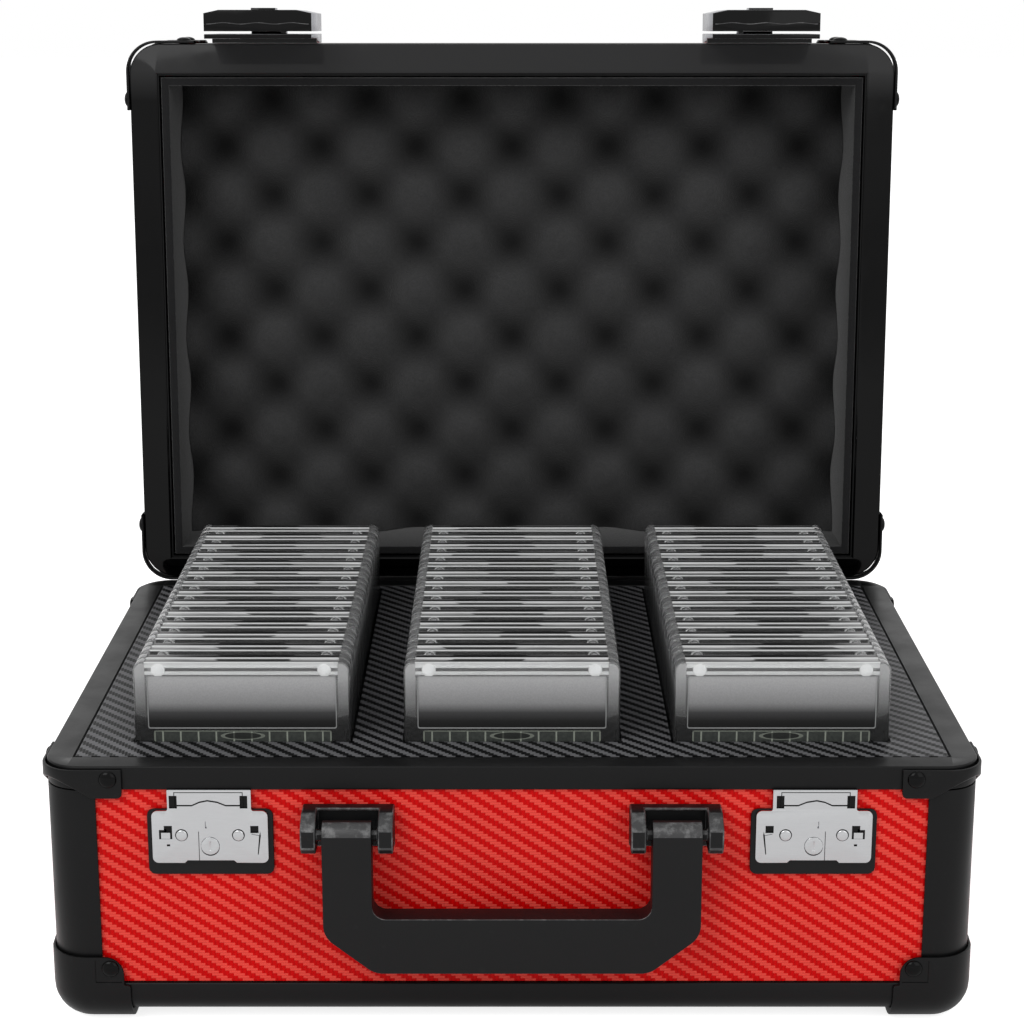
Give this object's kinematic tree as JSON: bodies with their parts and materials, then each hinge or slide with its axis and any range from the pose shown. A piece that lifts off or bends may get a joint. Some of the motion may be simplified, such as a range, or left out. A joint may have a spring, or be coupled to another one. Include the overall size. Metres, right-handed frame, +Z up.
{
  "type": "graded card storage case",
  "caption": "Hard case with a hinged lid, red twill walls, black metal edges and ball corners, two latches, a drop handle and foam slots that hold rows of graded card slabs.",
  "frame": {"origin": "centre of the open case, in plan, on the surface that its corner caps stand on", "axes": "+Z up, -Y towards the front with the handle and latches, +X to the right seen from the front"},
  "size_m": [0.3488, 0.3323, 0.363],
  "materials": {
    "red_twill": "satin embossed twill laminate",
    "black_twill": "satin twill sheet",
    "black_frame": "satin black coated",
    "black_gloss": "glossy",
    "black_plastic": "satin moulded, worn at the edges",
    "charcoal_foam": "matt open-cell foam",
    "chrome": "bright",
    "clear_plastic": "clear, polished",
    "floor_board": "matt board"
  },
  "bodies": {
    "base": {"base_bottom_frame": "black_frame", "base_bottom_panel": "floor_board", "base_corner_cap_front_left": "black_frame", "base_corner_cap_front_right": "black_frame", "base_corner_cap_rear_left": "black_frame", "base_corner_cap_rear_right": "black_frame", "base_corner_post_front_left": "black_frame", "base_corner_post_front_right": "black_frame", "base_corner_post_rear_left": "black_frame", "base_corner_post_rear_right": "black_frame", "base_foam": "charcoal_foam", "base_front_panel": "red_twill", "base_left_panel": "red_twill", "base_rear_panel": "red_twill", "base_right_panel": "red_twill", "base_rim": "black_frame", "base_rim_bracket_front_left": "black_frame", "base_rim_bracket_front_right": "black_frame", "base_rim_bracket_rear_left": "black_frame", "base_rim_bracket_rear_right": "black_frame", "foam_top_sheet": "black_twill", "handle_bracket_left": "black_plastic", "handle_bracket_right": "black_plastic", "hinge_base_leaf": "black_frame", "latch_backing_left": "black_plastic", "latch_backing_right": "black_plastic", "latch_receiver_left": "chrome", "latch_receiver_right": "chrome"},
    "lid": {"hasp_plate_left": "chrome", "hasp_plate_right": "chrome", "hinge_lid_leaf": "black_frame", "lid_corner_cap_front_left": "black_frame", "lid_corner_cap_front_right": "black_frame", "lid_corner_cap_rear_left": "black_frame", "lid_corner_cap_rear_right": "black_frame", "lid_corner_post_front_left": "black_frame", "lid_corner_post_front_right": "black_frame", "lid_corner_post_rear_left": "black_frame", "lid_corner_post_rear_right": "black_frame", "lid_foam": "charcoal_foam", "lid_front_panel": "red_twill", "lid_left_panel": "red_twill", "lid_rear_panel": "red_twill", "lid_right_panel": "red_twill", "lid_rim": "black_gloss", "lid_rim_bracket_front_left": "black_frame", "lid_rim_bracket_front_right": "black_frame", "lid_rim_bracket_rear_left": "black_frame", "lid_rim_bracket_rear_right": "black_frame", "lid_side_liner": "charcoal_foam", "lid_top_frame": "black_frame", "lid_top_panel": "red_twill"},
    "handle": {"handle": "black_plastic"},
    "hasp_flap_left": {"hasp_flap_left": "chrome"},
    "hasp_flap_right": {"hasp_flap_right": "chrome"},
    "lock_cylinder_left": {"lock_cylinder_left": "chrome"},
    "lock_cylinder_right": {"lock_cylinder_right": "chrome"},
    "slab_row_left": {"slab_row_left": "clear_plastic"},
    "slab_row_middle": {"slab_row_middle": "clear_plastic"},
    "slab_row_right": {"slab_row_right": "clear_plastic"}
  },
  "joints": [
    {"name": "lid_hinge", "type": "hinge", "parent": "base", "child": "lid", "pos_m": [0, 0.09627, 0.1009], "axis": [-1, 0, 0], "range_deg": [-92.5, 0]},
    {"name": "handle_swing", "type": "hinge", "parent": "base", "child": "handle", "pos_m": [0, -0.16143, 0.0809], "axis": [-1, 0, 0], "range_deg": [0, 90]},
    {"name": "hasp_flap_left_swing", "type": "hinge", "parent": "lid", "child": "hasp_flap_left", "pos_m": [-0.1104, 0.13294, 0.35629], "axis": [-1, 0, 0], "range_deg": [0, 100]},
    {"name": "hasp_flap_right_swing", "type": "hinge", "parent": "lid", "child": "hasp_flap_right", "pos_m": [0.1104, 0.13294, 0.35629], "axis": [-1, 0, 0], "range_deg": [0, 100]},
    {"name": "lock_left_turn", "type": "hinge", "parent": "base", "child": "lock_cylinder_left", "pos_m": [-0.1104, -0.15043, 0.0727], "axis": [0, -1, 0], "range_deg": [0, 90]},
    {"name": "lock_right_turn", "type": "hinge", "parent": "base", "child": "lock_cylinder_right", "pos_m": [0.1104, -0.15043, 0.0727], "axis": [0, -1, 0], "range_deg": [0, 90]},
    {"name": "slab_row_left_lift", "type": "slide", "parent": "base", "child": "slab_row_left", "axis": [0, 0, 1], "range_m": [0, 0.13]},
    {"name": "slab_row_middle_lift", "type": "slide", "parent": "base", "child": "slab_row_middle", "axis": [0, 0, 1], "range_m": [0, 0.13]},
    {"name": "slab_row_right_lift", "type": "slide", "parent": "base", "child": "slab_row_right", "axis": [0, 0, 1], "range_m": [0, 0.13]}
  ]
}
